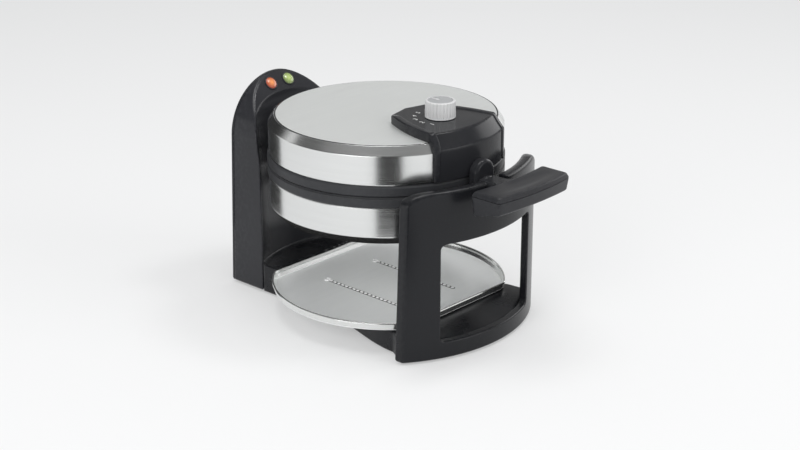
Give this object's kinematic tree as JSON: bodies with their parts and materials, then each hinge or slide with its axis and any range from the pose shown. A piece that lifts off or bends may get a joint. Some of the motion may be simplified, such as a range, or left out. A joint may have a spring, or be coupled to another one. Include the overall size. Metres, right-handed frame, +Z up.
{
  "type": "belgian waffle maker",
  "caption": "Flip-type round waffle maker: hinged two-part steel head that turns between a rear tower and a front stand over a drip tray, with a control knob and folding grip.",
  "frame": {"origin": "middle of the bounding box on the surface that it stands on", "axes": "+Z up, +Y from the handle towards the rear tower, along the head's turning axis, +X to the right of the person at the handle"},
  "size_m": [0.2284, 0.3444, 0.2232],
  "materials": {
    "stainless": "brushed stainless steel of the two head shells",
    "black_gloss": "glossy black moulded plastic",
    "black_satin": "satin black moulded plastic",
    "phenolic": "dark grey heat-resistant moulding of the rings",
    "non_stick": "cast aluminium with a dark non-stick coating",
    "tray_steel": "brushed grey sheet steel of the drip tray",
    "knob_white": "white moulded plastic with fine ribs",
    "zinc_steel": "zinc-plated steel of shafts, pins and screws",
    "rubber": "black rubber",
    "lens_red": "translucent red-orange lens",
    "lens_green": "translucent green lens",
    "lamp": "small clear lamp",
    "board_green": "green circuit board",
    "ceramic": "off-white ceramic and heat-proof moulding",
    "element_steel": "dark sheathed heating element"
  },
  "bodies": {
    "base": {"base_shell": "black_gloss", "base_bottom_cover": "black_satin", "front_stand": "black_gloss", "tower_shell": "black_gloss", "tower_back_cover": "black_satin", "tower_bush": "ceramic", "power_lens": "lens_red", "ready_lens": "lens_green", "power_lamp": "lamp", "ready_lamp": "lamp", "lamp_board": "board_green", "terminal_block": "ceramic", "cord_gland": "rubber", "foot_front_left": "rubber", "foot_front_right": "rubber", "foot_rear_left": "rubber", "foot_rear_right": "rubber", "base_screw_front_left": "zinc_steel", "base_screw_front_right": "zinc_steel", "base_screw_rear_left": "zinc_steel", "base_screw_rear_right": "zinc_steel", "back_screw_lower_left": "zinc_steel", "back_screw_lower_right": "zinc_steel", "back_screw_upper_left": "zinc_steel", "back_screw_upper_right": "zinc_steel"},
    "lower_half": {"lower_shell": "stainless", "lower_ring": "phenolic", "lower_grid_plate": "non_stick", "lower_heater": "element_steel", "lower_reflector": "zinc_steel", "lower_arm": "black_gloss", "hinge_bracket": "black_satin", "hinge_pin": "zinc_steel", "turn_shaft": "zinc_steel", "stop_collar": "zinc_steel", "shaft_clip": "zinc_steel"},
    "lid": {"lid_shell": "stainless", "lid_ring": "phenolic", "lid_grid_plate": "non_stick", "lid_heater": "element_steel", "lid_reflector": "zinc_steel", "lid_hinge_lug": "black_satin", "lid_arm": "black_gloss", "control_cover": "black_gloss", "thermostat": "ceramic"},
    "knob": {"control_knob": "knob_white", "thermostat_shaft": "zinc_steel"},
    "grip": {"grip_top": "black_gloss", "grip_bottom": "black_gloss", "grip_pin": "zinc_steel", "grip_screw_left": "zinc_steel", "grip_screw_right": "zinc_steel"},
    "tray": {"drip_tray": "tray_steel"}
  },
  "joints": [
    {"name": "flip", "type": "hinge", "parent": "base", "child": "lower_half", "pos_m": [0, 0.01335, 0.152], "axis": [0, 1, 0], "range_deg": [0, 180]},
    {"name": "lid_open", "type": "hinge", "parent": "lower_half", "child": "lid", "pos_m": [0, 0.13085, 0.183], "axis": [1, 0, 0], "range_deg": [-95, 0]},
    {"name": "knob_turn", "type": "hinge", "parent": "lid", "child": "knob", "pos_m": [0.0015, -0.05365, 0.2], "axis": [0, 0, 1], "range_deg": [-270, 0]},
    {"name": "grip_fold", "type": "hinge", "parent": "lid", "child": "grip", "pos_m": [0, -0.14465, 0.156], "axis": [1, 0, 0], "range_deg": [0, 90]},
    {"name": "tray_out", "type": "slide", "parent": "base", "child": "tray", "axis": [-1, 0, 0], "range_m": [0, 0.22]}
  ]
}
